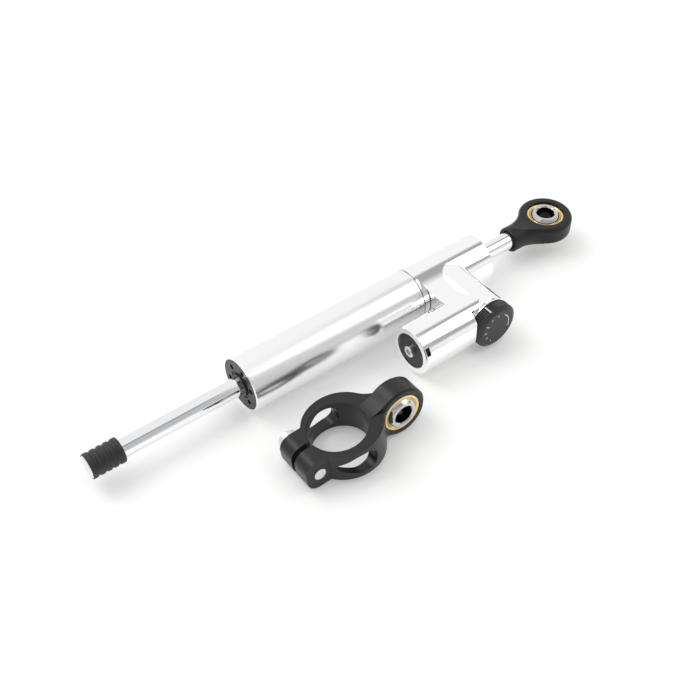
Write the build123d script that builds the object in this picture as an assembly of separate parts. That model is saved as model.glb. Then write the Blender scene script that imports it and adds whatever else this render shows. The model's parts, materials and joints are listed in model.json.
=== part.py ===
from build123d import *
from math import atan2, cos, degrees, radians, sin, sqrt
import os

# Steering damper of the through-rod kind, with a reservoir beside the head, a damping knob and a loose
# body clamp. Lengths are in millimetres. The origin is on the damper's axis at the middle of the body
# tube's free stretch, +X runs along the rod to the rod eye, -Y to the reservoir, +Z is up.

# Fits and gaps
run_clear = 0.03        # shaft or ball in its bush, seal or race
slide_clear = 0.05      # pieces that are screwed or pushed together
seat_gap = 0.1          # end gap between pieces that seat on each other
free_clear = 0.3        # pieces that pass each other without touching
oring_r = 0.5           # section radius of every O-ring
oring_room = 0.15       # side room of an O-ring in its groove
over = 1.0              # how far a cutting or joining piece runs past its mate

# Body tube, measured outwards from the bore that the piston runs in
liner_bore_r = 7.6
liner_wall = 1.0
annulus = 1.0           # oil gap between the liner and the tube
tube_wall = 2.4
tube_len = 85.8
clamp_zone_len = 60.0
rim_wall = 0.8          # wall round the gland's flange
spigot_wall = 1.2       # wall round the head's spigot
edge_chamfer = 0.3

# Inner liner
liner_seat_len = 3.0
port_r = 1.0
port_count = 6

# Rod and piston
rod_r = 4.0
rod_near_out = 54.0     # rod showing at the free end
rod_far_out = 18.8      # rod showing at the eye end
rod_thread_r = 3.3
rod_seat_depth = 3.0
rod_thread_len = 7.0
piston_gap = 0.3        # between the piston and the liner
piston_len = 12.0
piston_rest = 46.0      # piston's centre from the tube's near end
band_len = 7.0
band_thick = 0.9
bleed_r = 0.6
circlip_r = 5.2
circlip_thick = 0.8
circlip_depth = 0.6
circlip_mouth = 3.0

# Front gland, rod bushes, seals and wipers
flange_len = 6.0
gland_body_len = 6.0
gland_spigot_len = 5.0
bush_r = 5.2
bush_len = 7.0
seal_r = 6.0
seal_len = 3.0
wiper_len = 2.6
wiper_lip_len = 0.6
spanner_hole_r = 1.2
spanner_pitch_r = 7.8
spanner_depth = 2.5
spanner_count = 6
spanner_turn = -15.0

# Head casting
head_step = 0.4         # how far the casting's cylinder lies inside the tube's surface
head_len = 40.2         # from the tube's end to the casting's far face
seam_step = 0.9         # depth of the groove that marks the seam with the tube
seam_w = 0.45
web_setback = 1.7       # from the seam to the web's near face
spigot_len = 7.0
spigot_lip = 0.4        # how far the head's spigot narrows the oil gap
end_chamber_len = 4.0
head_chamfer = 1.2
waist_r = 40.0          # radius that the web is waisted with between its two cylinders
cross_r = 10.8
cross_from_web = 15.3   # from the web's near face to the knob's axis
cross_face = 31.7       # distance of the knob side's face from the main axis

# Reservoir
res_r = 10.62
res_y = 26.8            # distance between the two axes
res_out = 22.1          # how far it reaches past the casting's near face
res_bore_r = 8.05
notch_w = 3.6
notch_start = 0.6       # rim left whole in front of the notch
notch_len = 2.0
notch_turn = 31.0       # above the outward side

# Reservoir cap, floating piston and spring
cap_recess = 0.3
cap_len = 4.5
cap_lip_len = 1.3
cap_lip_step = 0.45
ring_wire_r = 0.45
ring_mouth = 50.0       # degrees
fill_head_r = 2.6
fill_head_len = 1.5
fill_shank_r = 1.95
fill_shank_len = 3.5
hex_across = 2.5
hex_depth = 1.0
spring_len = 9.0
spring_wire_r = 0.45
spring_coil_r = 6.2
spring_turns = 4.5
float_len = 4.5
float_pocket_r = 4.6
float_travel = 3.0      # each way from rest
float_end_room = 1.3    # left before the bore's floor after that travel

# Adjuster
adj_body_r = 5.95
adj_body_len = 4.7
adj_plate_r = 10.2
adj_plate_len = 1.0
stem_r = 2.0
stem_collar_r = 3.0
stem_collar_len = 1.3
stem_in_knob = 3.4
tang_across = 1.5
tang_len = 3.4
valve_bore_r = 3.0
needle_len = 4.4
needle_nose_r = 1.5
needle_nose_len = 5.4
needle_tip_len = 1.8
needle_spare = 0.14     # left between the tip and its seat with the knob turned right in
orifice_r = 0.9
tip_share = 0.6         # tip's radius as a share of the orifice's
feed_r = 0.9
thread_pitch = 0.5      # needle advance per turn
knob_turn = 150.0       # each way from rest, in degrees

# Knob
knob_r = 10.5
knob_len = 4.4
knob_gap = 0.4
knob_pocket_gap = 0.5
pocket_flat = 9.5       # from the knob's axis to the flat that ends the reservoir beside the knob
crown_r = 8.4           # raised middle of the knob's face
crown_len = 0.9
knurl_count = 72
knurl_depth = 0.3
knurl_band_end = 0.6
knob_chamfer = 0.35
index_w = 0.6
index_depth = 0.25
index_turn = -19.5      # from the knob's top
click_r = 7.5
click_count = 24
click_depth = 0.25
ball_r = 1.0
click_pocket = 3.0
click_spring_r = 0.65
click_wire_r = 0.15
click_turns = 4
grub_r = 1.0
grub_len = 5.0

# Ribbed sleeve and screw on the rod's free end
sleeve_r = 5.3
sleeve_len = 14.0
rib_count = 5
rib_depth = 0.4
rib_groove_r = 0.9      # section radius of the grooves between the ribs
end_head_r = 4.75
end_head_len = 1.5
end_head_proud = 0.2
end_shank_r = 2.0
end_shank_len = 8.0

# Spherical bearings, alike in the eye and in the clamp
bearing_bore_r = 4.0
bearing_ball_r = 7.5
bearing_ball_w = 10.0
ball_chamfer = 0.5      # at both mouths of the ball's bore
race_r = 8.5
race_w = 7.0
race_chamfer = 0.3
race_flare = 0.8        # inner chamfer at the race's mouths

# Rod eye
eye_from_rim = 22.8     # from the shank's rim to the bearing's centre
eye_r = 12.3
eye_thick = 8.7
eye_edge = 1.8
shank_r = 5.8
shank_mouth = 0.7       # chamfer round the rod
eye_fillet = 17.0       # radius of the flare between shank and eye, seen along the bore
neck_reach = 5.0        # where the flare ends inside the eye, from its centre
neck_lap = 1.5          # how far the thinning reaches back onto the shank

# Clamp
clamp_h = 14.0
clamp_wall_near = 1.8
clamp_wall_far = 6.3
clamp_neck_near = 4.2   # fillets between ring and arm, on the race's side and behind
clamp_neck_far = 11.0
clamp_blend_r = 20.0    # radius of the rise from the ring's faces to the head
clamp_arm = 25.9        # from the tube's axis to the bearing's centre
clamp_head_r = 11.2
clamp_head_near = 6.0   # from the clamp's middle to the face that holds the race
clamp_head_far = 3.7
clamp_race_shift = 2.4
race_lip = 0.9          # shoulder left behind the race
clamp_edge = 0.8
window_h = 9.8
window_near = 8.9       # how far the windows reach towards the ears
window_far = 6.8
window_corner = 3.8
window_taper = 7.4      # length over which they narrow towards the ears
window_tip = 2.8        # their height at that end
window_tip_r = 1.2
window_side_r = 8.0     # rounds the corner between straight and tapering side
ear_reach = 21.2
ear_half = 9.0
ear_corner = 5.2
slot_w = 2.2
clamp_bolt_from = 15.4
clamp_bolt_r = 2.5
bolt_head_r = 4.2
bolt_head_len = 4.6
bolt_socket = 4.0
bolt_socket_depth = 2.4
bolt_past = 0.4
clamp_x = -13.95        # where the clamp lies
clamp_y = -43.95
clamp_yaw = -1.28
clamp_pitch = 5.2
clamp_roll = -3.5

# The clamp's head, worked out from its two faces
clamp_head_w = clamp_head_near + clamp_head_far
clamp_head_mid = (clamp_head_far - clamp_head_near) / 2

# Radii worked out from the liner's bore and the walls
liner_r = liner_bore_r + liner_wall
tube_bore_r = liner_r + annulus
tube_r = tube_bore_r + tube_wall
rim_bore_r = tube_r - rim_wall
spigot_bore_r = tube_r - spigot_wall
piston_r = liner_bore_r - piston_gap
bleed_pitch_r = (rod_r + piston_r - band_thick) / 2
head_r = tube_r - head_step
seam_r = tube_r - seam_step
annulus_bore_r = tube_bore_r - spigot_lip

# Places worked out from the sizes
x_near = -clamp_zone_len / 2
x_seam = x_near + tube_len
x_web = x_seam + web_setback
x_head_end = x_seam + head_len
x_cross = x_web + cross_from_web
x_res = x_web - res_out
x_res_floor = x_res + cap_recess + cap_len + spring_len + float_len + float_travel + float_end_room
x_eye_rim = x_head_end + rod_far_out
x_eye = x_eye_rim + eye_from_rim
x_sleeve = x_near - rod_near_out
x_piston = x_near + piston_rest
x_liner = x_near + flange_len + gland_body_len
x_chamber_end = x_head_end - seal_len - wiper_len - bush_len - 2 * seat_gap
x_liner_end = x_chamber_end - end_chamber_len
x_liner_seat = x_liner_end - liner_seat_len
y_cross_face = -cross_face
y_knob_back = y_cross_face - adj_plate_len - knob_gap
y_knob_face = y_knob_back - knob_len
y_adj_floor = y_cross_face + adj_body_len
y_stem_end = y_adj_floor - slide_clear
y_needle_back = y_adj_floor + 2 * free_clear
y_needle_tip = y_needle_back + needle_len + needle_nose_len + needle_tip_len
y_seat = y_needle_tip + thread_pitch * knob_turn / 360 + needle_spare
bore_r = rod_r + run_clear
floor_z = -tube_r


def rod_x(r, x0, x1, y=0.0):
    """Cylinder along X from x0 to x1, its axis y off the damper's axis."""
    return Pos((x0 + x1) / 2, y, 0) * Rot(0, 90, 0) * Cylinder(r, x1 - x0)


def rod_y(r, y0, y1, x=0.0, z=0.0):
    """Cylinder along Y from y0 to y1."""
    return Pos(x, (y0 + y1) / 2, z) * Rot(90, 0, 0) * Cylinder(r, y1 - y0)


def pipe_x(r, bore, x0, x1, y=0.0):
    """Plain tube along X."""
    return rod_x(r, x0, x1, y) - rod_x(bore, x0 - over, x1 + over, y)


def oring_x(inner_r, x, y=0.0):
    """O-ring about X with its hole at inner_r."""
    return Pos(x, y, 0) * Rot(0, 90, 0) * Torus(inner_r + oring_r, oring_r)


def seal_floor(bore):
    """Inner radius of an O-ring that seals in a bore."""
    return bore - run_clear - 2 * oring_r


def groove_x(outer_r, floor_r, x, y=0.0):
    """Ring of room for an O-ring about X, from floor_r out to outer_r."""
    half = oring_r + oring_room
    return pipe_x(outer_r, floor_r, x - half, x + half, y)


def coil(radius, wire, turns, length):
    """Open coil along +Z from 0 to length, wire section included."""
    pitch = (length - 2 * wire) / turns
    path = Helix(pitch, length - 2 * wire, radius)
    start = Plane(path @ 0, z_dir=path % 0)
    return Pos(0, 0, wire) * sweep(start * Circle(wire), path, is_frenet=True)


# Body tube and liner

def make_body_tube():
    tube = rod_x(tube_r, x_near, x_seam)
    tube = chamfer(tube.edges(), edge_chamfer)
    tube -= rod_x(tube_bore_r, x_near - over, x_seam + over)
    tube -= rod_x(rim_bore_r, x_near - over, x_near + flange_len + slide_clear)
    return tube - rod_x(spigot_bore_r, x_seam - spigot_len - seat_gap, x_seam + over)


def make_liner():
    liner = pipe_x(liner_r, liner_bore_r, x_liner + slide_clear, x_liner_end - slide_clear)
    port_x = x_liner + gland_spigot_len + 2 * port_r
    for i in range(port_count // 2):
        hole = Rot(360 * i / port_count, 0, 0) * Pos(port_x, 0, 0) * Cylinder(port_r, 2 * liner_r + 2 * over)
        liner -= hole
    return liner


# Front gland, bushes, seals and wipers

def rod_bore_cuts(x_open, side):
    """Room for the wiper, seal and bush, cut inwards from an open end. side is +1 or -1 along X."""
    lip = wiper_len + seal_len + seat_gap
    deep = lip + bush_len + seat_gap
    cut = Pos(x_open, 0, 0) * Rot(0, 90, 0) * Pos(0, 0, side * lip / 2) * Cylinder(seal_r + slide_clear, lip)
    cut += (Pos(x_open, 0, 0) * Rot(0, 90, 0) * Pos(0, 0, side * deep / 2)
            * Cylinder(bush_r + slide_clear, deep))
    return cut


def ring_from(x_open, side, start, length, outer, inner=None):
    """Ring on the rod that begins start inwards from an open end."""
    a = x_open + side * start
    b = a + side * length
    return pipe_x(outer, bore_r if inner is None else inner, min(a, b), max(a, b))


def make_front_gland():
    x_step = x_near + flange_len
    gland = rod_x(rim_bore_r - slide_clear, x_near, x_step)
    gland = chamfer(gland.edges().group_by(Axis.X)[0], edge_chamfer)
    gland += rod_x(tube_bore_r - slide_clear, x_step, x_liner)
    gland += rod_x(liner_bore_r - slide_clear, x_liner, x_liner + gland_spigot_len)
    gland -= rod_x(rod_r + free_clear, x_near - over, x_liner + gland_spigot_len + over)
    gland -= rod_bore_cuts(x_near, 1)
    gland -= groove_x(tube_bore_r + over, seal_floor(tube_bore_r), x_step + gland_body_len / 2)
    for i in range(spanner_count):
        turn = Rot(spanner_turn + 360 * i / spanner_count, 0, 0)
        gland -= turn * Pos(0, spanner_pitch_r, 0) * rod_x(spanner_hole_r, x_near - over, x_near + spanner_depth)
    return gland


def make_gland_oring():
    return oring_x(seal_floor(tube_bore_r), x_near + flange_len + gland_body_len / 2)


def make_bushes():
    start = wiper_len + seal_len + seat_gap
    return [ring_from(x, s, start, bush_len, bush_r) for x, s in ((x_near, 1), (x_head_end, -1))]


def make_seals():
    start = wiper_len + slide_clear
    seals = []
    for x, s in ((x_near, 1), (x_head_end, -1)):
        seal = ring_from(x, s, start, seal_len, seal_r)
        middle = start + seal_len / 2
        seal -= ring_from(x, s, middle - seal_len / 6, seal_len / 3, rod_r + (seal_r - rod_r) / 3)
        seals.append(seal)
    return seals


def make_wipers():
    wipers = []
    for x, s in ((x_near, 1), (x_head_end, -1)):
        body = ring_from(x, s, edge_chamfer, wiper_len - edge_chamfer, seal_r)
        lip = ring_from(x, s, -wiper_lip_len, wiper_lip_len + edge_chamfer, rod_r + (seal_r - rod_r) / 2)
        wipers.append(body + lip)
    return wipers


# Head casting

def valve_cuts():
    """Bores along the knob's axis and the drilled oil ways that meet them."""
    cut = rod_y(adj_body_r + slide_clear, y_cross_face - over, y_adj_floor, x_cross)
    cut += rod_y(valve_bore_r + slide_clear, y_adj_floor - over, y_seat, x_cross)
    cut += rod_y(orifice_r, y_seat - over, -annulus_bore_r + over, x_cross)
    y_feed = -res_y + res_bore_r - 1.5 * feed_r
    cut += rod_x(feed_r, x_res_floor - over, x_cross, y_feed)
    start = Vector(x_cross + valve_bore_r / 2, y_seat - 2 * feed_r, 0)
    end = Vector(x_chamber_end - end_chamber_len / 3, -liner_bore_r + over, 0)
    way = end - start
    tilt = degrees(atan2(way.Y, way.X))
    oil_way = Rot(0, 90, 0) * Cylinder(feed_r, way.length)
    return cut + Pos(*(start + end) / 2) * Rot(0, 0, tilt) * oil_way


def reservoir_cuts():
    cut = rod_x(res_bore_r, x_res - over, x_res_floor, -res_y)
    x_ring = x_res + cap_recess + ring_wire_r + slide_clear
    half = ring_wire_r + slide_clear
    cut += rod_x(res_bore_r + ring_wire_r + slide_clear, x_ring - half, x_ring + half, -res_y)
    notch = Pos(0, -(res_bore_r + res_r) / 2, 0) * Box(notch_len, res_r - res_bore_r + 2 * over, notch_w)
    return cut + Pos(x_res + notch_start + notch_len / 2, -res_y, 0) * Rot(-notch_turn, 0, 0) * notch


def web_plan():
    """Section of the web: a strip between the two cylinders, waisted by an arc that touches both."""
    main_reach = head_r + waist_r
    res_reach = res_r + waist_r
    waist_y = (res_y ** 2 + main_reach ** 2 - res_reach ** 2) / (2 * res_y)
    waist_z = sqrt(main_reach ** 2 - waist_y ** 2)
    main_y, main_z = waist_y * head_r / main_reach, waist_z * head_r / main_reach
    far_y, far_z = res_y - (res_y - waist_y) * res_r / res_reach, waist_z * res_r / res_reach
    strip = Polygon((-main_y, main_z), (-far_y, far_z), (-res_y, 0), (-far_y, -far_z), (-main_y, -main_z), (0, 0),
                    align=None)
    for side in (1, -1):
        strip -= Pos(-waist_y, side * waist_z) * Circle(waist_r)
    return strip


def knob_pocket():
    """Room for the knob: a scallop round it, and a flat that ends the reservoir beside it."""
    y_out = -res_y - 2 * res_r
    pocket = rod_y(knob_r + knob_pocket_gap, y_out, y_cross_face, x_cross)
    middle = Pos(x_cross - pocket_flat + res_r, (y_out + y_cross_face) / 2, 0)
    return pocket + middle * Box(2 * res_r, y_cross_face - y_out, 4 * res_r)


def make_head():
    body = rod_x(head_r, x_seam + seam_w, x_head_end)
    body = chamfer(body.edges().group_by(Axis.X)[-1], head_chamfer)
    body += Pos(x_web, 0, 0) * extrude(Plane.YZ * web_plan(), amount=x_cross - x_web)
    body += rod_y(cross_r, y_cross_face, 0, x_cross)
    tank = rod_x(res_r, x_res, x_cross, -res_y)
    body += chamfer(tank.edges().group_by(Axis.X)[0], edge_chamfer)
    body += rod_x(seam_r, x_seam, x_web)
    body += rod_x(spigot_bore_r - slide_clear, x_seam - spigot_len, x_seam + over)
    body -= knob_pocket()
    body -= rod_x(annulus_bore_r, x_seam - spigot_len - over, x_liner_seat)
    body -= rod_x(liner_r + slide_clear, x_liner_seat - over, x_liner_end)
    body -= rod_x(liner_bore_r, x_liner_end - over, x_chamber_end)
    body -= rod_x(rod_r + free_clear, x_chamber_end - over, x_head_end + over)
    body -= rod_bore_cuts(x_head_end, -1)
    body -= groove_x(spigot_bore_r + over, seal_floor(spigot_bore_r), x_seam - spigot_len / 2)
    body -= reservoir_cuts()
    return body - valve_cuts()


def make_head_oring():
    return oring_x(seal_floor(spigot_bore_r), x_seam - spigot_len / 2)


# Reservoir pieces

cap_x = x_res + cap_recess
cap_end = cap_x + cap_len
cap_groove_x = cap_x + cap_lip_len + (cap_len - cap_lip_len) / 2
float_x = cap_end + spring_len
res_fit_r = res_bore_r - slide_clear


def make_reservoir_cap():
    cap = rod_x(res_fit_r, cap_x + cap_lip_len, cap_end, -res_y)
    cap += rod_x(res_fit_r - cap_lip_step, cap_x, cap_x + cap_lip_len + over, -res_y)
    cap -= groove_x(res_bore_r + over, seal_floor(res_bore_r), cap_groove_x, -res_y)
    cap -= rod_x(fill_shank_r + slide_clear, cap_x - over, cap_end + over, -res_y)
    return cap


def make_cap_oring():
    return oring_x(seal_floor(res_bore_r), cap_groove_x, -res_y)


def make_cap_ring():
    """Sprung wire ring in the reservoir's groove, its mouth at the bottom."""
    x = cap_x + ring_wire_r + slide_clear
    ring = Torus(res_bore_r, ring_wire_r)
    wedge_r = 2 * res_bore_r
    half = radians(ring_mouth / 2)
    corners = [(0, 0), (wedge_r * cos(half), wedge_r * sin(half)), (wedge_r * cos(half), -wedge_r * sin(half))]
    ring -= extrude(Polygon(*corners, align=None), amount=2 * ring_wire_r, both=True)
    return Pos(x, -res_y, 0) * Rot(0, 90, 0) * ring


def make_fill_screw():
    head = rod_x(fill_head_r, cap_x - fill_head_len, cap_x, -res_y)
    head = chamfer(head.edges().group_by(Axis.X)[0], edge_chamfer)
    screw = head + rod_x(fill_shank_r, cap_x - over, cap_x + fill_shank_len, -res_y)
    socket = extrude(RegularPolygon(hex_across / sqrt(3), 6), amount=hex_depth)
    return screw - Pos(cap_x - fill_head_len, -res_y, 0) * Rot(0, 90, 0) * socket


def make_compensator_spring():
    length = spring_len - 2 * slide_clear
    spring = coil(spring_coil_r, spring_wire_r, spring_turns, length)
    return Pos(cap_end + slide_clear, -res_y, 0) * Rot(0, 90, 0) * spring


def make_floating_piston():
    body = rod_x(res_bore_r - 2 * run_clear, float_x, float_x + float_len, -res_y)
    body -= groove_x(res_bore_r + over, seal_floor(res_bore_r), float_x + float_len / 2, -res_y)
    return body - rod_x(float_pocket_r, float_x - over, float_x + float_len / 4, -res_y)


def make_floating_oring():
    return oring_x(seal_floor(res_bore_r), float_x + float_len / 2, -res_y)


# Adjuster

def make_adjuster_gland():
    gland = rod_y(adj_body_r, y_adj_floor - adj_body_len, y_adj_floor - slide_clear, x_cross)
    gland += rod_y(adj_plate_r, y_cross_face - adj_plate_len, y_cross_face, x_cross)
    gland -= rod_y(stem_r + run_clear, y_cross_face - 2 * adj_plate_len, y_adj_floor + over, x_cross)
    room = stem_collar_len + free_clear
    gland -= rod_y(stem_collar_r + free_clear, y_adj_floor - room, y_adj_floor + over, x_cross)
    half = oring_r + oring_room
    y_ring = y_cross_face + adj_body_len / 3
    gland -= rod_y(stem_r + run_clear + 2 * oring_r, y_ring - half, y_ring + half, x_cross)
    for i in range(click_count):
        turn = Pos(x_cross, 0, 0) * Rot(0, 360 * i / click_count, 0)
        depth_out = sqrt(ball_r ** 2 - (ball_r - click_depth) ** 2)
        y_face = y_cross_face - adj_plate_len
        dimple = Pos(click_r, y_face, 0) * Rot(90, 0, 0) * Cylinder(depth_out, 2 * click_depth)
        gland -= turn * dimple
    return gland


def make_stem_oring():
    y_ring = y_cross_face + adj_body_len / 3
    return Pos(x_cross, y_ring, 0) * Rot(90, 0, 0) * Torus(stem_r + run_clear + oring_r, oring_r)


def make_adjuster_stem():
    stem = rod_y(stem_r, y_knob_back - stem_in_knob, y_stem_end, x_cross)
    stem += rod_y(stem_collar_r, y_stem_end - stem_collar_len, y_stem_end, x_cross)
    depth = y_needle_back - y_stem_end + tang_len + 2 * free_clear
    side = tang_across + 2 * slide_clear
    socket = Box(side, 2 * depth - 2 * (y_needle_back - y_stem_end), side)
    return stem - Pos(x_cross, y_stem_end, 0) * socket


def make_needle():
    needle = rod_y(valve_bore_r, y_needle_back, y_needle_back + needle_len, x_cross)
    y_nose = y_needle_back + needle_len
    needle += rod_y(needle_nose_r, y_nose, y_nose + needle_nose_len, x_cross)
    y_cone = y_nose + needle_nose_len
    tip_r = orifice_r * tip_share
    cone = Cone(tip_r, needle_nose_r, needle_tip_len)
    needle += Pos(x_cross, y_cone + needle_tip_len / 2, 0) * Rot(90, 0, 0) * cone
    tang = Box(tang_across, tang_len, tang_across)
    return needle + Pos(x_cross, y_needle_back - tang_len / 2, 0) * tang


def make_knob():
    knob = rod_y(knob_r, y_knob_face, y_knob_back, x_cross)
    knob = chamfer(knob.edges(), knob_chamfer)
    crown = Cone(knob_r - knob_chamfer, crown_r, crown_len)
    knob += Pos(x_cross, y_knob_face - crown_len / 2, 0) * Rot(90, 0, 0) * crown
    band = knob_len - 2 * knurl_band_end
    cut = Rot(0, 45, 0) * Box(knurl_depth * sqrt(2), band, knurl_depth * sqrt(2))
    middle = Pos(x_cross, (y_knob_back + y_knob_face) / 2, 0)
    cuts = [middle * Rot(0, 360 * i / knurl_count, 0) * Pos(0, 0, knob_r) * cut for i in range(knurl_count)]
    knob -= cuts
    index = Pos(0, 0, knob_r) * Box(index_w, knob_len + over, 2 * index_depth)
    knob -= middle * Rot(0, index_turn, 0) * index
    knob -= rod_y(stem_r + slide_clear, y_knob_back - stem_in_knob - seat_gap, y_knob_back + over, x_cross)
    knob -= rod_y(ball_r + slide_clear, y_knob_back - click_pocket, y_knob_back + over, x_cross + click_r)
    grub_mid = y_knob_back - stem_in_knob / 2
    return knob - Pos(x_cross, grub_mid, -knob_r / 2) * Cylinder(grub_r + slide_clear, knob_r + over)


def make_knob_screw():
    grub_mid = y_knob_back - stem_in_knob / 2
    z_in = -(stem_r + slide_clear)
    screw = Pos(x_cross, grub_mid, z_in - grub_len / 2) * Cylinder(grub_r, grub_len)
    socket = extrude(RegularPolygon(grub_r / 2, 6), amount=grub_r)
    return screw - Pos(x_cross, grub_mid, z_in - grub_len) * socket


def make_click_ball():
    y_ball = y_cross_face - adj_plate_len - ball_r - slide_clear
    return Pos(x_cross + click_r, y_ball, 0) * Sphere(ball_r)


def make_click_spring():
    y_ball_back = y_cross_face - adj_plate_len - 2 * ball_r - slide_clear
    y_floor = y_knob_back - click_pocket
    length = y_ball_back - y_floor - 2 * slide_clear
    spring = coil(click_spring_r, click_wire_r, click_turns, length)
    return Pos(x_cross + click_r, y_ball_back - slide_clear, 0) * Rot(90, 0, 0) * spring


# Rod, piston and rod ends

clip_xs = (x_piston - piston_len / 2 - circlip_thick / 2 - slide_clear,
           x_piston + piston_len / 2 + circlip_thick / 2 + slide_clear)
sleeve_end = x_sleeve - sleeve_len
head_seat = sleeve_end + end_head_len - end_head_proud


def make_rod():
    rod = rod_x(rod_r, head_seat + slide_clear, x_eye_rim + rod_seat_depth)
    rod += rod_x(rod_thread_r, x_eye_rim + rod_seat_depth - over, x_eye_rim + rod_seat_depth + rod_thread_len)
    for x in clip_xs:
        half = circlip_thick / 2 + slide_clear
        rod -= pipe_x(rod_r + over, rod_r - circlip_depth, x - half, x + half)
    return rod - rod_x(end_shank_r + slide_clear, head_seat - over, head_seat + end_shank_len + seat_gap)


def make_piston():
    piston = pipe_x(piston_r, rod_r + slide_clear, x_piston - piston_len / 2, x_piston + piston_len / 2)
    piston -= pipe_x(piston_r + over, liner_bore_r - band_thick - 2 * run_clear,
                     x_piston - band_len / 2 - slide_clear, x_piston + band_len / 2 + slide_clear)
    for i in (0, 180):
        piston -= Rot(i, 0, 0) * Pos(0, bleed_pitch_r, 0) * rod_x(bleed_r, x_piston - piston_len, x_piston + piston_len)
    return piston


def make_piston_band():
    outer = liner_bore_r - run_clear
    return pipe_x(outer, outer - band_thick + run_clear, x_piston - band_len / 2, x_piston + band_len / 2)


def make_circlips():
    clips = []
    for x in clip_xs:
        clip = pipe_x(circlip_r, rod_r - circlip_depth + slide_clear, x - circlip_thick / 2, x + circlip_thick / 2)
        clips.append(clip - Pos(x, 0, circlip_r) * Box(2 * circlip_thick, circlip_mouth, 2 * circlip_r))
    return clips


def make_sleeve():
    sleeve = rod_x(sleeve_r, sleeve_end, x_sleeve)
    sleeve = chamfer(sleeve.edges(), edge_chamfer)
    pitch = sleeve_len / rib_count
    groove = Rot(0, 90, 0) * Torus(sleeve_r - rib_depth + rib_groove_r, rib_groove_r)
    for i in range(1, rib_count):
        sleeve -= Pos(sleeve_end + i * pitch, 0, 0) * groove
    sleeve -= rod_x(rod_r + slide_clear, sleeve_end - over, x_sleeve + over)
    return sleeve - rod_x(end_head_r + slide_clear, sleeve_end - over, head_seat)


def make_end_screw():
    face = head_seat - end_head_len
    head = rod_x(end_head_r, face, head_seat - slide_clear)
    head = chamfer(head.edges().group_by(Axis.X)[0], edge_chamfer)
    return head + rod_x(end_shank_r, head_seat - over, head_seat + end_shank_len)


# Spherical bearings, made about Z at the origin

def bearing_race():
    race = Cylinder(race_r, race_w)
    race = chamfer(race.edges(), race_chamfer)
    hole_r = bearing_ball_r + run_clear
    race -= Sphere(hole_r)
    mouth_r = sqrt(hole_r ** 2 - (race_w / 2) ** 2)
    for side in (0, 180):
        race -= Rot(side, 0, 0) * Pos(0, 0, (race_w - race_flare) / 2) * Cone(mouth_r, mouth_r + race_flare, race_flare)
    return race


def bearing_ball():
    ball = Sphere(bearing_ball_r) & Box(4 * bearing_ball_r, 4 * bearing_ball_r, bearing_ball_w)
    ball -= Cylinder(bearing_bore_r, bearing_ball_w + 2 * over)
    mouth = Cone(bearing_bore_r, bearing_bore_r + ball_chamfer, ball_chamfer)
    for side in (0, 180):
        ball -= Rot(side, 0, 0) * Pos(0, 0, (bearing_ball_w - ball_chamfer) / 2) * mouth
    return ball


def eye_neck():
    """Shank and its flare into the eye: a turned form, thinned above and below to the eye's faces."""
    reach = sqrt((eye_r + eye_fillet) ** 2 - (shank_r + eye_fillet) ** 2)
    contact = eye_r / (eye_r + eye_fillet)
    x_flare = x_eye - reach
    x_touch, r_touch = x_eye - reach * contact, (shank_r + eye_fillet) * contact
    x_in, r_in = x_eye - neck_reach, sqrt((eye_r - eye_edge) ** 2 - neck_reach ** 2)
    outline = Polygon((x_eye_rim, 0), (x_eye_rim, shank_r - edge_chamfer), (x_eye_rim + edge_chamfer, shank_r),
                      (x_flare, shank_r), (x_flare, r_touch), (x_touch, r_touch), (x_in, r_in), (x_in, 0), align=None)
    outline -= Pos(x_flare, shank_r + eye_fillet) * Circle(eye_fillet)
    neck = revolve(outline, axis=Axis.X)
    rise = shank_r - eye_thick / 2
    run = x_touch - x_flare + neck_lap
    rise_r = (run ** 2 + rise ** 2) / (2 * rise)
    for side in (1, -1):
        neck -= rod_y(rise_r, -2 * eye_r, 2 * eye_r, x_touch, side * (eye_thick / 2 + rise_r))
        middle = Pos(x_touch + eye_r, 0, side * (eye_thick / 2 + eye_r))
        neck -= middle * Box(2 * eye_r, 4 * eye_r, 2 * eye_r)
    return neck


def make_eye():
    head = Pos(x_eye, 0, 0) * Cylinder(eye_r, eye_thick)
    body = fillet(head.edges(), eye_edge) + eye_neck()
    body -= rod_x(rod_r + slide_clear, x_eye_rim - over, x_eye_rim + rod_seat_depth + slide_clear)
    body -= rod_x(rod_thread_r + slide_clear, x_eye_rim, x_eye_rim + rod_seat_depth + rod_thread_len + seat_gap)
    mouth = Cone(rod_r + shank_mouth, rod_r, shank_mouth)
    body -= Pos(x_eye_rim + shank_mouth / 2, 0, 0) * Rot(0, 90, 0) * mouth
    return body - Pos(x_eye, 0, 0) * Cylinder(race_r + slide_clear / 2, eye_thick + 2 * over)


def make_eye_race():
    return Pos(x_eye, 0, 0) * bearing_race()


def make_eye_ball():
    return Pos(x_eye, 0, 0) * bearing_ball()


# Clamp, made about Z with its arm along +X, then laid on the table

def clamp_race_place():
    return Pos(clamp_arm, -clamp_race_shift, 0) * Rot(90, 0, 0)


def clamp_plan():
    """Outline of the ring, ears and arm seen along the tube's axis."""
    ring_shift = (clamp_wall_far - clamp_wall_near) / 2
    ring_out = tube_r + (clamp_wall_far + clamp_wall_near) / 2
    ring = Pos(ring_shift, 0) * Circle(ring_out)
    ears = Pos(-ear_reach / 2, 0) * Rectangle(ear_reach, 2 * ear_half)
    arm = Pos(clamp_arm / 2, clamp_head_mid) * Rectangle(clamp_arm, clamp_head_w)
    outline = ring + ears + arm
    for edge_y, neck_r in ((-clamp_head_near, clamp_neck_near), (clamp_head_far, clamp_neck_far)):
        corner = [v for v in outline.vertices() if ring_shift < v.X < clamp_arm - over and abs(v.Y - edge_y) < over]
        outline = fillet(corner, neck_r)
    return outline


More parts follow.
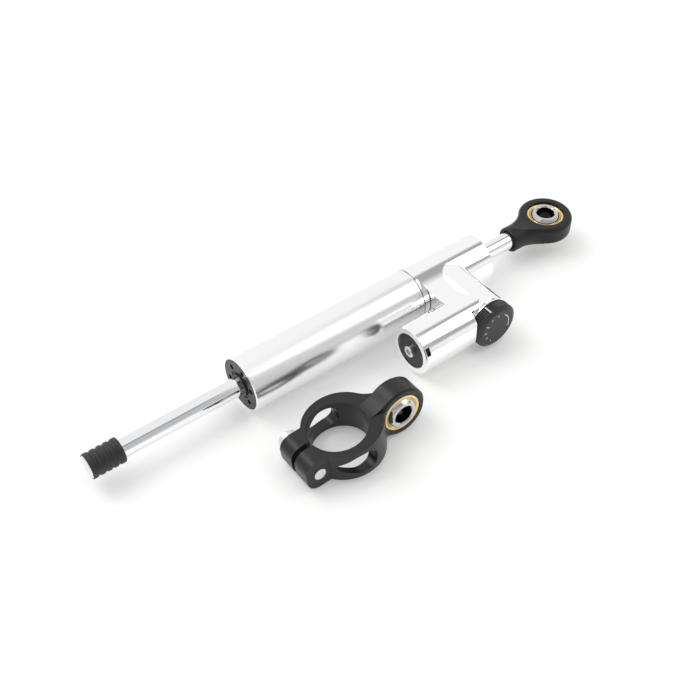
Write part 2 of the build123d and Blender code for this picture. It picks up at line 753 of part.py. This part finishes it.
def ear_round():
    """What rounds the ears' ends, seen along their bolt."""
    block = Pos(-ear_reach / 2, 0) * Rectangle(ear_reach, clamp_h)
    round_block = fillet(block.vertices().group_by(Axis.X)[0], ear_corner)
    return Rot(90, 0, 0) * extrude(block - round_block, amount=2 * ear_half, both=True)


def arm_blend():
    """Rise from the ring's faces to the head, seen from its side."""
    half = clamp_h / 2
    run = sqrt((clamp_head_r + clamp_blend_r) ** 2 - (half + clamp_blend_r) ** 2)
    touch = clamp_head_r / (clamp_head_r + clamp_blend_r)
    x_start, x_touch = clamp_arm - run, clamp_arm - run * touch
    z_touch = (half + clamp_blend_r) * touch
    blend = Polygon((x_start, 0), (x_start, half), (x_touch, z_touch), (clamp_arm, 0), (x_touch, -z_touch),
                    (x_start, -half), align=None)
    for side in (1, -1):
        blend -= Pos(x_start, side * (half + clamp_blend_r)) * Circle(clamp_blend_r)
    return Pos(0, clamp_head_mid, 0) * Rot(90, 0, 0) * extrude(blend, amount=clamp_head_w / 2 - clamp_edge, both=True)


def window_plan():
    """Outline of a window through the ring's side wall, seen across the clamp."""
    half, tip = window_h / 2, window_tip / 2
    x_side = window_taper - window_near
    window = Polygon((-window_near, tip), (x_side, half), (window_far, half), (window_far, -half), (x_side, -half),
                     (-window_near, -tip), align=None)
    tips, sides, far = window.vertices().group_by(Axis.X)
    window = fillet(tips, window_tip_r)
    window = fillet(window.vertices().sort_by_distance((x_side, half))[0:1], window_side_r)
    window = fillet(window.vertices().sort_by_distance((x_side, -half))[0:1], window_side_r)
    return fillet(window.vertices().group_by(Axis.X)[-1], window_corner)


def clamp_body():
    body = extrude(clamp_plan(), amount=clamp_h / 2, both=True)
    body += arm_blend()
    head = Pos(clamp_arm, clamp_head_mid, 0) * Rot(90, 0, 0) * Cylinder(clamp_head_r, clamp_head_w)
    body += chamfer(head.edges(), clamp_edge)
    body -= ear_round()
    body -= Cylinder(tube_r, clamp_h + 2 * clamp_head_r)
    body -= Rot(90, 0, 0) * extrude(window_plan(), amount=2 * ear_half + tube_r, both=True)
    body -= Pos(-ear_reach / 2 - tube_r / 2, 0, 0) * Box(ear_reach, slot_w, clamp_h + 2 * over)
    race_room = race_w / 2 + slide_clear
    race_mouth = clamp_head_near - clamp_race_shift + 1
    body -= (clamp_race_place() * Pos(0, 0, (race_mouth - race_room) / 2)
             * Cylinder(race_r + slide_clear / 2, race_mouth + race_room))
    body -= clamp_race_place() * Cylinder(race_r - race_chamfer - race_lip, 2 * clamp_head_w)
    bolt_hole = Pos(-clamp_bolt_from, 0, 0) * Rot(90, 0, 0)
    return body - bolt_hole * Cylinder(clamp_bolt_r + slide_clear, 4 * ear_half)


def clamp_bolt():
    """Cap screw through both ears, its head on the far ear."""
    start = ear_half
    shank = rod_y(clamp_bolt_r, -ear_half - bolt_past, start + over, -clamp_bolt_from)
    head = rod_y(bolt_head_r, start + slide_clear, start + bolt_head_len, -clamp_bolt_from)
    head = chamfer(head.edges().group_by(Axis.Y)[-1], edge_chamfer)
    socket = extrude(RegularPolygon(bolt_socket / sqrt(3), 6), amount=bolt_socket_depth)
    return shank + head - Pos(-clamp_bolt_from, start + bolt_head_len, 0) * Rot(90, 0, 0) * socket


def laid_clamp(pieces):
    """Turns the clamp's pieces as it lies and sets the lowest point on the table."""
    turned = [Rot(0, 0, clamp_yaw) * Rot(0, -clamp_pitch, 0) * Rot(clamp_roll, 0, 0) * p for p in pieces]
    lowest = min(p.bounding_box().min.Z for p in turned)
    return [Pos(clamp_x, clamp_y, floor_z - lowest) * p for p in turned]


def write(name, shapes):
    """Writes one solid, or a group of separate solids, as a node."""
    shapes = shapes if isinstance(shapes, list) else [shapes]
    solids = [s for shape in shapes for s in shape.solids()]
    export_step(solids[0] if len(solids) == 1 else Compound(children=solids), f"parts/{name}.step")


def main():
    os.makedirs("parts", exist_ok=True)
    nodes = {
        "body_tube": make_body_tube(),
        "liner_tube": make_liner(),
        "front_gland": make_front_gland(),
        "gland_oring": make_gland_oring(),
        "rod_guide_bushes": make_bushes(),
        "rod_seals": make_seals(),
        "rod_wipers": make_wipers(),
        "head_body": make_head(),
        "head_oring": make_head_oring(),
        "reservoir_cap": make_reservoir_cap(),
        "reservoir_cap_oring": make_cap_oring(),
        "cap_retaining_ring": make_cap_ring(),
        "fill_screw": make_fill_screw(),
        "compensator_spring": make_compensator_spring(),
        "floating_piston": make_floating_piston(),
        "floating_piston_oring": make_floating_oring(),
        "adjuster_gland": make_adjuster_gland(),
        "stem_oring": make_stem_oring(),
        "adjuster_stem": make_adjuster_stem(),
        "adjuster_needle": make_needle(),
        "adjuster_knob": make_knob(),
        "knob_screw": make_knob_screw(),
        "click_ball": make_click_ball(),
        "click_spring": make_click_spring(),
        "piston_rod": make_rod(),
        "piston": make_piston(),
        "piston_band": make_piston_band(),
        "piston_circlips": make_circlips(),
        "rod_end_sleeve": make_sleeve(),
        "rod_end_screw": make_end_screw(),
        "rod_eye": make_eye(),
        "eye_race": make_eye_race(),
        "eye_ball": make_eye_ball(),
    }
    clamp_names = ("clamp_ring", "clamp_race", "clamp_ball", "clamp_bolt")
    clamp_pieces = [clamp_body(), clamp_race_place() * bearing_race(), clamp_race_place() * bearing_ball(),
                    clamp_bolt()]
    nodes.update(zip(clamp_names, laid_clamp(clamp_pieces)))
    for name, shape in nodes.items():
        write(name, shape)


main()
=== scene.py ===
"""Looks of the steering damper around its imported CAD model, in metres: studio, finishes and the knob's marks."""
import json
import math

import bmesh
import bpy
from mathutils import Matrix, Vector


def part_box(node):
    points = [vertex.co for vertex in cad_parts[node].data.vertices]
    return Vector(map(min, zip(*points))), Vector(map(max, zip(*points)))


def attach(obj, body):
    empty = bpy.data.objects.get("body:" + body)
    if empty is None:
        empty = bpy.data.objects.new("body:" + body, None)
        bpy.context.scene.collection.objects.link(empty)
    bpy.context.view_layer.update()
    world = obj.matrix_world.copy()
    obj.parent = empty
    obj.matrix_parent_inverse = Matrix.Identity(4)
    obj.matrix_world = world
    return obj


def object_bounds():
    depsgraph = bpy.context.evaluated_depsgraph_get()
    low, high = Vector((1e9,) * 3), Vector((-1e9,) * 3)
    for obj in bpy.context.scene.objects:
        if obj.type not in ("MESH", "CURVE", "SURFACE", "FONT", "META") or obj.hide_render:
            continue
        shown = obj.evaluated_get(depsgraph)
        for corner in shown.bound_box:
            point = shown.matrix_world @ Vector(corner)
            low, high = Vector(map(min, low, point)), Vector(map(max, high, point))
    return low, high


MM = 0.001

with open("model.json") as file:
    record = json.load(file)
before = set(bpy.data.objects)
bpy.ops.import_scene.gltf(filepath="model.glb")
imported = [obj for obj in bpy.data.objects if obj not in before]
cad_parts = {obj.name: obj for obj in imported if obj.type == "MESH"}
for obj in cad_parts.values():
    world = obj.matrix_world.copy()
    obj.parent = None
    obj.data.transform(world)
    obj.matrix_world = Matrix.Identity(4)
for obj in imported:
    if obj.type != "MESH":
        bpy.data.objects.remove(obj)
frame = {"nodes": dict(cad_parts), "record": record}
cad_low, cad_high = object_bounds()
mounts = {m["name"]: m for m in frame["record"]["mounts"]}


# Camera and studio

TARGET = Vector((23.05, -2.15, -12.0)) * MM
AZIMUTH = math.radians(-37.13)
ELEVATION = math.radians(46.07)
ROLL = math.radians(-0.26)
DISTANCE = 461.7 * MM
LENS, SENSOR = 55.9, 36.0
CLIP_NEAR, CLIP_FAR = 0.01, 20

FLOOR_Z = cad_low.z
FLOOR_HALF = 4.0
PAPER_COLOUR = (0.8, 0.8, 0.79, 1)
FLOOR_SEEN = 0.22         # glow of the floor to the camera
FLOOR_MIRRORED = 0.28     # and in reflections
WHITE = (1, 1, 1, 1)

ROOM_LIGHT = 0.97
ROOM_BLUE = 1.005         # the room is a shade cooler than grey

# Grey cards in the room, as degrees from the +Y horizon over the top and brightness
ROOM_LEFT = [(0, 1.0), (106, 1.0), (113, 0.42), (122, 0.4), (130, 0.62), (160, 0.55), (172, 0.8),
             (180, 0.6)]
ROOM_MIDDLE = [(0, 1.0), (108, 1.0), (128, 0.74), (152, 0.74), (166, 0.6), (176, 0.4), (180, 0.42)]
ROOM_RIGHT = [(0, 1.0), (70, 1.0), (79, 0.4), (90, 0.4), (100, 1.0), (130, 1.0), (140, 0.42), (152, 0.42),
              (163, 1.0), (180, 0.9)]
LEFT_ENDS = (0.3, 0.34)        # where one stretch of the room fades into the next, along X
MIDDLE_ENDS = (0.44, 0.48)

LAMP_SIZE = 0.7
LAMPS = (("key", (-0.35, 0.55, 0.95), 4.0), ("fill", (0.7, -0.4, 0.8), 1.2))     # name, place, watts


def add_object(name, data):
    thing = bpy.data.objects.new(name, data)
    bpy.context.scene.collection.objects.link(thing)
    return thing


def place_camera():
    camera = add_object("camera", bpy.data.cameras.new("camera"))
    level = math.cos(ELEVATION)
    back = Vector((math.sin(AZIMUTH) * level, -math.cos(AZIMUTH) * level, math.sin(ELEVATION)))
    turn = (-back).to_track_quat("-Z", "Y").to_matrix() @ Matrix.Rotation(ROLL, 3, "Z")
    camera.matrix_world = Matrix.Translation(TARGET + back * DISTANCE) @ turn.to_4x4()
    camera.data.lens = LENS
    camera.data.sensor_width = SENSOR
    camera.data.clip_start = CLIP_NEAR
    camera.data.clip_end = CLIP_FAR
    bpy.context.scene.camera = camera


def soft_lamp(name, place, power):
    lamp = bpy.data.lights.new(name, "AREA")
    lamp.shape = "SQUARE"
    lamp.size = LAMP_SIZE
    lamp.energy = power
    box = add_object(name, lamp)
    box.location = Vector(place)
    box.rotation_mode = "QUATERNION"
    box.rotation_quaternion = (TARGET - box.location).to_track_quat("-Z", "Y")


# Node helpers

def feed(tree, socket, term):
    """Sets a socket to a value, or links another socket to it."""
    if isinstance(term, bpy.types.NodeSocket):
        tree.links.new(term, socket)
    else:
        socket.default_value = term


def maths(tree, operation, *terms):
    node = tree.nodes.new("ShaderNodeMath")
    node.operation = operation
    for socket, term in zip(node.inputs, terms):
        feed(tree, socket, term)
    return node.outputs[0]


def vector_maths(tree, operation, result, *terms):
    node = tree.nodes.new("ShaderNodeVectorMath")
    node.operation = operation
    for socket, term in zip(node.inputs, terms):
        feed(tree, socket, term)
    return node.outputs[result]


def mixed(tree, factor, under, over):
    """Goes from one colour to another with a factor."""
    mix = tree.nodes.new("ShaderNodeMix")
    mix.data_type = "RGBA"
    feed(tree, mix.inputs["Factor"], factor)
    feed(tree, mix.inputs["A"], under)
    feed(tree, mix.inputs["B"], over)
    return mix.outputs["Result"]


def object_place(tree):
    return tree.nodes.new("ShaderNodeTexCoord").outputs["Object"]


def noise(tree, vector, scale, detail):
    texture = tree.nodes.new("ShaderNodeTexNoise")
    feed(tree, texture.inputs["Scale"], scale)
    texture.inputs["Detail"].default_value = detail
    tree.links.new(vector, texture.inputs["Vector"])
    return texture.outputs["Fac"]


def node_material(name):
    """Empty node material. Returns it with its tree and its output node."""
    material = bpy.data.materials.new(name)
    material.use_nodes = True
    tree = material.node_tree
    tree.nodes.clear()
    return material, tree, tree.nodes.new("ShaderNodeOutputMaterial")


def node_group(name, inputs, outputs):
    """Node group with named sockets. Returns the tree with its input and output nodes."""
    tree = bpy.data.node_groups.new(name, "ShaderNodeTree")
    for label, kind, value in inputs:
        socket = tree.interface.new_socket(label, in_out="INPUT", socket_type=kind)
        if value is not None:
            socket.default_value = value
    for label in outputs:
        tree.interface.new_socket(label, in_out="OUTPUT", socket_type="NodeSocketFloat")
    return tree, tree.nodes.new("NodeGroupInput"), tree.nodes.new("NodeGroupOutput")


# The room and the floor

def studio_floor():
    bm = bmesh.new()
    bmesh.ops.create_grid(bm, x_segments=1, y_segments=1, size=FLOOR_HALF)
    bmesh.ops.translate(bm, verts=bm.verts, vec=(0, 0, FLOOR_Z))
    mesh = bpy.data.meshes.new("studio_floor")
    bm.to_mesh(mesh)
    bm.free()
    floor = add_object("studio_floor", mesh)
    material, tree, out = node_material("studio_paper")
    diffuse = tree.nodes.new("ShaderNodeBsdfDiffuse")
    diffuse.inputs["Color"].default_value = PAPER_COLOUR
    glow = tree.nodes.new("ShaderNodeEmission")
    glow.inputs["Color"].default_value = WHITE
    path = tree.nodes.new("ShaderNodeLightPath")
    seen = maths(tree, "MULTIPLY", path.outputs["Is Camera Ray"], FLOOR_SEEN)
    lift = maths(tree, "MULTIPLY_ADD", path.outputs["Is Glossy Ray"], FLOOR_MIRRORED, seen)
    tree.links.new(lift, glow.inputs["Strength"])
    both = tree.nodes.new("ShaderNodeAddShader")
    tree.links.new(diffuse.outputs[0], both.inputs[0])
    tree.links.new(glow.outputs[0], both.inputs[1])
    tree.links.new(both.outputs[0], out.inputs["Surface"])
    mesh.materials.append(material)


def grey_cards(tree, share, stops):
    """Grey ramp over the half turn above the floor."""
    ramp = tree.nodes.new("ShaderNodeValToRGB")
    points = ramp.color_ramp.elements
    while len(points) < len(stops):
        points.new(0.5)
    for point, (angle, level) in zip(points, stops):
        point.position = angle / 180
        point.color = (level, level, level * ROOM_BLUE, 1)
    tree.links.new(share, ramp.inputs[0])
    return ramp.outputs["Color"]


def along_room(tree, x, ends, under, over):
    """Fades from one stretch of the room to the next between two places along X."""
    fade = tree.nodes.new("ShaderNodeMapRange")
    fade.interpolation_type = "SMOOTHSTEP"
    fade.inputs["From Min"].default_value = ends[0]
    fade.inputs["From Max"].default_value = ends[1]
    tree.links.new(x, fade.inputs["Value"])
    return mixed(tree, fade.outputs["Result"], under, over)


def studio_world():
    """White room with long grey cards parallel to the damper, which round metal shows as streaks."""
    world = bpy.data.worlds.new("studio")
    bpy.context.scene.world = world
    world.use_nodes = True
    tree = world.node_tree
    tree.nodes.clear()
    out = tree.nodes.new("ShaderNodeOutputWorld")
    background = tree.nodes.new("ShaderNodeBackground")
    place = tree.nodes.new("ShaderNodeTexCoord")
    split = tree.nodes.new("ShaderNodeSeparateXYZ")
    tree.links.new(place.outputs["Generated"], split.inputs[0])
    around = maths(tree, "ARCTAN2", split.outputs["Z"], split.outputs["Y"])
    share = maths(tree, "DIVIDE", around, math.pi)
    left = grey_cards(tree, share, ROOM_LEFT)
    middle = grey_cards(tree, share, ROOM_MIDDLE)
    right = grey_cards(tree, share, ROOM_RIGHT)
    room = along_room(tree, split.outputs["X"], LEFT_ENDS, left, middle)
    room = along_room(tree, split.outputs["X"], MIDDLE_ENDS, room, right)
    path = tree.nodes.new("ShaderNodeLightPath")
    shown = mixed(tree, path.outputs["Is Camera Ray"], room, WHITE)
    tree.links.new(shown, background.inputs["Color"])
    background.inputs["Strength"].default_value = ROOM_LIGHT
    tree.links.new(background.outputs[0], out.inputs["Surface"])


def studio():
    place_camera()
    studio_floor()
    studio_world()
    for name, place, power in LAMPS:
        soft_lamp(name, place, power)
    bpy.context.scene.view_settings.view_transform = "Standard"


# Effects that the finishes share

CLOUD_TURNED = 60.0       # noise scale of the slow drift in gloss on turned metal
CLOUD_GRAINED = 110.0     # and on grained surfaces
GRAIN_SCALE = 2500.0
GRAIN_TINT = 0.15         # how far the shade strays from the colour
# dark colour of the painted shade in the balls' bores and at the foot of the seam
BORE_AND_SEAM_SHADE = (0.03, 0.026, 0.022, 1)


def drifting(tree, start, cloud):
    """Roughness that strays from the group's Rough by its Drift."""
    centred = maths(tree, "SUBTRACT", cloud, 0.5)
    return maths(tree, "MULTIPLY_ADD", centred, start.outputs["Drift"], start.outputs["Rough"])


def turning_group():
    """Fine lathe rings along X, with a slow drift in gloss."""
    tree, start, end = node_group(
        "turned_marks",
        [("Pitch", "NodeSocketFloat", 0.0003), ("Drift", "NodeSocketFloat", 0.03),
         ("Rough", "NodeSocketFloat", 0.15)],
        ["Height", "Roughness"])
    place = object_place(tree)
    split = tree.nodes.new("ShaderNodeSeparateXYZ")
    tree.links.new(place, split.inputs[0])
    rings = tree.nodes.new("ShaderNodeTexNoise")
    rings.noise_dimensions = "1D"
    rings.inputs["Scale"].default_value = 1.0
    rings.inputs["Detail"].default_value = 3.0
    tree.links.new(maths(tree, "DIVIDE", split.outputs["X"], start.outputs["Pitch"]), rings.inputs["W"])
    tree.links.new(rings.outputs["Fac"], end.inputs["Height"])
    cloud = noise(tree, place, CLOUD_TURNED, 2.0)
    tree.links.new(drifting(tree, start, cloud), end.inputs["Roughness"])
    return tree


def grain_group():
    """Fine even grain, as on blasted or moulded surfaces, with a Shade to tint by."""
    tree, start, end = node_group(
        "fine_grain",
        [("Drift", "NodeSocketFloat", 0.08), ("Rough", "NodeSocketFloat", 0.4)],
        ["Height", "Roughness", "Shade"])
    place = object_place(tree)
    tree.links.new(noise(tree, place, GRAIN_SCALE, 2.0), end.inputs["Height"])
    cloud = noise(tree, place, CLOUD_GRAINED, 3.0)
    tree.links.new(drifting(tree, start, cloud), end.inputs["Roughness"])
    tree.links.new(cloud, end.inputs["Shade"])
    return tree


def bore_group():
    """Mask of what lies within a Radius of an axis through a point, up to a Reach along it."""
    tree, start, end = node_group(
        "bore_mask",
        [("Centre", "NodeSocketVector", None), ("Axis", "NodeSocketVector", None),
         ("Radius", "NodeSocketFloat", 0.004), ("Reach", "NodeSocketFloat", 1.0)],
        ["Inside"])
    axis = start.outputs["Axis"]
    offset = vector_maths(tree, "SUBTRACT", "Vector", object_place(tree), start.outputs["Centre"])
    across = vector_maths(tree, "CROSS_PRODUCT", "Vector", offset, axis)
    distance = vector_maths(tree, "LENGTH", "Value", across)
    along = vector_maths(tree, "DOT_PRODUCT", "Value", offset, axis)
    inside = maths(tree, "LESS_THAN", distance, start.outputs["Radius"])
    near = maths(tree, "LESS_THAN", along, start.outputs["Reach"])
    tree.links.new(maths(tree, "MULTIPLY", inside, near), end.inputs["Inside"])
    return tree


TURNED = turning_group()
GRAIN = grain_group()
BORE = bore_group()


def effect(tree, group, values):
    """Places a node group with its own values."""
    node = tree.nodes.new("ShaderNodeGroup")
    node.node_tree = group
    for label, value in values.items():
        node.inputs[label].default_value = value
    return node.outputs


def shader(name, colour, metal):
    material, tree, out = node_material(name)
    surface = tree.nodes.new("ShaderNodeBsdfPrincipled")
    surface.inputs["Base Color"].default_value = (*colour, 1)
    surface.inputs["Metallic"].default_value = metal
    tree.links.new(surface.outputs[0], out.inputs["Surface"])
    return material, tree, surface


def add_bump(tree, surface, height, depth):
    bump = tree.nodes.new("ShaderNodeBump")
    bump.inputs["Strength"].default_value = 1.0
    bump.inputs["Distance"].default_value = depth
    tree.links.new(height, bump.inputs["Height"])
    tree.links.new(bump.outputs[0], surface.inputs["Normal"])


def turned_metal(name, colour, rough, pitch=0.0003, depth=2e-7):
    """Machined or polished metal with lathe rings along X."""
    material, tree, surface = shader(name, colour, 1.0)
    marks = effect(tree, TURNED, {"Pitch": pitch, "Rough": rough})
    tree.links.new(marks["Roughness"], surface.inputs["Roughness"])
    add_bump(tree, surface, marks["Height"], depth)
    return material


def grained(name, colour, metal, rough, depth=4e-6, drift=0.08, gloss=0.5):
    """Blasted, anodised, plated or moulded surface with an even grain and slight shade changes."""
    material, tree, surface = shader(name, colour, metal)
    surface.inputs["Specular IOR Level"].default_value = gloss
    grain = effect(tree, GRAIN, {"Drift": drift, "Rough": rough})
    tree.links.new(grain["Roughness"], surface.inputs["Roughness"])
    add_bump(tree, surface, grain["Height"], depth)
    darker = (*[c * (1 - GRAIN_TINT) for c in colour], 1)
    lighter = (*[min(1.0, c * (1 + GRAIN_TINT)) for c in colour], 1)
    tree.links.new(mixed(tree, grain["Shade"], darker, lighter), surface.inputs["Base Color"])
    return material


def paint_shade_inside(material, centre, axis, radius, reach=1.0):
    """Paints shade: makes the surface dark within a radius of an axis, up to a reach along it."""
    tree = material.node_tree
    surface = next(n for n in tree.nodes if n.type == "BSDF_PRINCIPLED")
    colour = surface.inputs["Base Color"]
    own = colour.links[0].from_socket if colour.is_linked else colour.default_value
    mask = effect(tree, BORE, {"Centre": centre, "Axis": axis, "Radius": radius, "Reach": reach})
    # painted shade: mixes the dark colour in where the mask is
    tree.links.new(mixed(tree, mask["Inside"], own, BORE_AND_SEAM_SHADE), colour)
    return material


# Finishes

BALL_COLOUR = (0.6, 0.58, 0.57)
BORE_RIM = 0.05 * MM      # how far past the bore's wall the painted shade reaches
SEAM_STEP = 0.8 * MM      # depth and width of the groove between tube and casting
SEAM_W = 0.4 * MM


def ball_steel(name, mount_name):
    """Ground steel with painted shade in its bore."""
    mount = mounts[mount_name]
    steel = grained(name, BALL_COLOUR, 1.0, 0.13, depth=4e-7, drift=0.1)
    # painted shade inside the bore
    return paint_shade_inside(steel, mount["pos_m"], mount["axis"], mount["dims"]["r_mm"] * MM + BORE_RIM)


def cast_head():
    """Polished casting, with painted shade at the foot of the seam."""
    cast = turned_metal("polished_head", (0.95, 0.95, 0.95), 0.09, pitch=0.0008, depth=1e-7)
    tube_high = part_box("body_tube")[1]
    # painted shade in the groove between tube and casting
    return paint_shade_inside(cast, (0, 0, 0), (1, 0, 0), tube_high.z - SEAM_STEP, tube_high.x + SEAM_W)


def dress(finish, *names):
    """Gives CAD nodes a finish in every material slot."""
    for name in names:
        slots = frame["nodes"][name].data.materials
        for i in range(len(slots)):
            slots[i] = finish
        if not slots:
            slots.append(finish)


def finishes():
    dress(turned_metal("polished_tube", (0.93, 0.93, 0.935), 0.24), "body_tube")
    dress(cast_head(), "head_body")
    dress(turned_metal("turned_plate", (0.9, 0.9, 0.9), 0.2), "adjuster_gland")
    dress(turned_metal("turned_aluminium", (0.72, 0.72, 0.73), 0.3, depth=1e-6), "liner_tube", "piston")
    dress(turned_metal("hard_chrome", (0.86, 0.865, 0.88), 0.05, depth=5e-8), "piston_rod")
    dress(grained("black_anodised", (0.010, 0.0105, 0.010), 0.0, 0.34, gloss=0.36), "clamp_ring")
    dress(grained("eye_anodised", (0.0095, 0.0105, 0.0095), 0.0, 0.4, gloss=0.3), "rod_eye")
    dress(grained("plug_anodised", (0.008, 0.008, 0.008), 0.0, 0.3, gloss=0.3), "front_gland", "reservoir_cap")
    dress(grained("knob_anodised", (0.011, 0.011, 0.012), 0.0, 0.42), "adjuster_knob")
    dress(grained("yellow_plated", (0.86, 0.66, 0.3), 1.0, 0.22, depth=1e-6), "eye_race", "clamp_race")
    dress(grained("sintered_bronze", (0.55, 0.36, 0.18), 1.0, 0.45), "rod_guide_bushes")
    dress(ball_steel("eye_ball_steel", "eye_bore"), "eye_ball")
    dress(ball_steel("clamp_ball_steel", "clamp_ball_bore"), "clamp_ball")
    dress(grained("ground_steel", BALL_COLOUR, 1.0, 0.16, depth=5e-7), "click_ball")
    dress(grained("zinc_plated", (0.74, 0.74, 0.75), 1.0, 0.3, depth=1e-6),
          "fill_screw", "rod_end_screw", "knob_screw", "adjuster_stem", "adjuster_needle", "clamp_bolt")
    dress(grained("spring_steel", (0.2, 0.2, 0.21), 1.0, 0.35),
          "compensator_spring", "click_spring", "cap_retaining_ring", "piston_circlips")
    dress(grained("seal_rubber", (0.012, 0.012, 0.012), 0.0, 0.5),
          "gland_oring", "head_oring", "reservoir_cap_oring", "floating_piston_oring", "stem_oring",
          "rod_seals", "rod_wipers")
    dress(grained("sleeve_rubber", (0.016, 0.016, 0.016), 0.0, 0.5, depth=8e-6), "rod_end_sleeve")
    dress(grained("bearing_plastic", (0.12, 0.08, 0.05), 0.0, 0.55), "piston_band")
    dress(grained("natural_acetal", (0.7, 0.69, 0.65), 0.0, 0.45), "floating_piston")


# Marks on the knob

KNOB_LOW, KNOB_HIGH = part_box("adjuster_knob")
KNOB_X = (KNOB_LOW.x + KNOB_HIGH.x) / 2
KNOB_Z = (KNOB_LOW.z + KNOB_HIGH.z) / 2
KNOB_R = (KNOB_HIGH.z - KNOB_LOW.z) / 2
KNOB_FACE = KNOB_LOW.y
KNOB_BACK = KNOB_HIGH.y
KNOB_AXIS = (KNOB_X, 0, KNOB_Z)
CROWN = 0.9 * MM            # how far the face's middle stands out
PRINT = 0.04 * MM           # thickness of the paint

INDEX_TURN = math.radians(-19.5)
INDEX_W = 0.6 * MM
INDEX_SHORT = 0.5 * MM      # how much shorter the line is than the knob's edge
INDEX_DEEP = 0.25 * MM      # how far it lies below the knurl's crests
INDEX_THICK = 3 * PRINT

ARC_R = 6.4 * MM
ARC_W = 0.42 * MM
ARC_FROM, ARC_TO = math.radians(34), math.radians(104)
ARC_STEPS = 18
BARB_LONG = 3.2 * ARC_W
BARB_LEAN = math.radians(50)

STEPS_FROM, STEPS_TO, STEPS = math.radians(-150), math.radians(-60), 4
STEP_SHORT, STEP_GROWS = 0.7 * MM, 0.35 * MM      # the first one's length, and what each next one gains
MARK_W = 0.4 * MM           # width of the lines of the steps and signs
MINUS_AT, PLUS_AT = math.radians(-30), 0.0
SIGN_ACROSS, SIGN_UP = 0.9 * MM, 1.1 * MM


def bm_piece(name, bm, body, finish):
    """Finished bmesh as a piece that rides on a body."""
    mesh = bpy.data.meshes.new(name)
    bmesh.ops.recalc_face_normals(bm, faces=bm.faces)
    bm.to_mesh(mesh)
    bm.free()
    mesh.materials.append(finish)
    piece = add_object(name, mesh)
    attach(piece, body)


def quarter_turn(bm, verts, axis):
    bmesh.ops.rotate(bm, verts=verts, cent=(0, 0, 0), matrix=Matrix.Rotation(math.radians(90), 3, axis))


def swing(bm, verts, angle, about=KNOB_AXIS):
    """Turns vertices about the knob's axis or another place on its face."""
    bmesh.ops.rotate(bm, verts=verts, cent=about, matrix=Matrix.Rotation(angle, 3, "Y"))


def thicken(bm, faces, vec):
    """Raises faces into a plate."""
    raised = bmesh.ops.extrude_face_region(bm, geom=faces)["geom"]
    bmesh.ops.translate(bm, verts=[g for g in raised if isinstance(g, bmesh.types.BMVert)], vec=vec)


def dial_spot(angle, radius):
    """Place on the knob's face, with the angle counted from its top towards +X."""
    return Vector((KNOB_X + radius * math.sin(angle), KNOB_FACE, KNOB_Z + radius * math.cos(angle)))


def dial_plate(bm, width, height, angle):
    """Small plate of paint lying on the face, its height along the radius. Returns all its vertices."""
    made = bmesh.ops.create_grid(bm, x_segments=1, y_segments=1, size=0.5)["verts"]
    bmesh.ops.scale(bm, verts=made, vec=(width, height, 1))
    quarter_turn(bm, made, "X")
    swing(bm, made, angle, (0, 0, 0))
    bmesh.ops.translate(bm, verts=made, vec=dial_spot(angle, ARC_R) - Vector((0, PRINT / 2, 0)))
    thicken(bm, list({f for v in made for f in v.link_faces}), (0, PRINT, 0))
    return list({v for b in made for f in b.link_faces for v in f.verts})


def turning_arrow(bm):
    """Arc with two barbs at its end."""
    bmesh.ops.create_grid(bm, x_segments=1, y_segments=1, size=0.5)
    bmesh.ops.scale(bm, verts=bm.verts, vec=(PRINT, ARC_W, 1))
    quarter_turn(bm, bm.verts, "X")
    quarter_turn(bm, bm.verts, "Z")
    bmesh.ops.translate(bm, verts=bm.verts, vec=dial_spot(0, ARC_R))
    swing(bm, bm.verts, ARC_FROM)
    bmesh.ops.spin(bm, geom=list(bm.faces), cent=KNOB_AXIS, axis=(0, 1, 0),
                   angle=ARC_TO - ARC_FROM, steps=ARC_STEPS)
    for side in (-1, 1):
        barb = dial_plate(bm, ARC_W, BARB_LONG, ARC_TO)
        swing(bm, barb, side * BARB_LEAN, dial_spot(ARC_TO, ARC_R))


def dial_marks(finish):
    """Turning arrow, graded steps, and a minus and a plus sign, in white paint on the face."""
    bm = bmesh.new()
    turning_arrow(bm)
    for i in range(STEPS):
        angle = STEPS_FROM + (STEPS_TO - STEPS_FROM) * i / (STEPS - 1)
        dial_plate(bm, MARK_W, STEP_SHORT + STEP_GROWS * i, angle)
    for angle in (MINUS_AT, PLUS_AT):
        dial_plate(bm, SIGN_ACROSS, MARK_W, angle)
    dial_plate(bm, MARK_W, SIGN_UP, PLUS_AT)
    bm_piece("knob_marks", bm, "knob", finish)


def index_line(finish):
    """White paint in the groove across the knob's edge."""
    bm = bmesh.new()
    bmesh.ops.create_grid(bm, x_segments=1, y_segments=1, size=0.5)
    edge_from = KNOB_FACE + CROWN
    middle = (KNOB_BACK + edge_from) / 2
    bmesh.ops.scale(bm, verts=bm.verts, vec=(INDEX_W, KNOB_BACK - edge_from - INDEX_SHORT, 1))
    thicken(bm, list(bm.faces), (0, 0, INDEX_THICK))
    bmesh.ops.translate(bm, verts=bm.verts, vec=(KNOB_X, middle, KNOB_Z + KNOB_R - INDEX_DEEP))
    swing(bm, bm.verts, INDEX_TURN)
    bm_piece("knob_index", bm, "knob", finish)


studio()
finishes()
paint = grained("white_paint", (0.75, 0.75, 0.74), 0.0, 0.5, depth=1e-6)
dial_marks(paint)
index_line(paint)
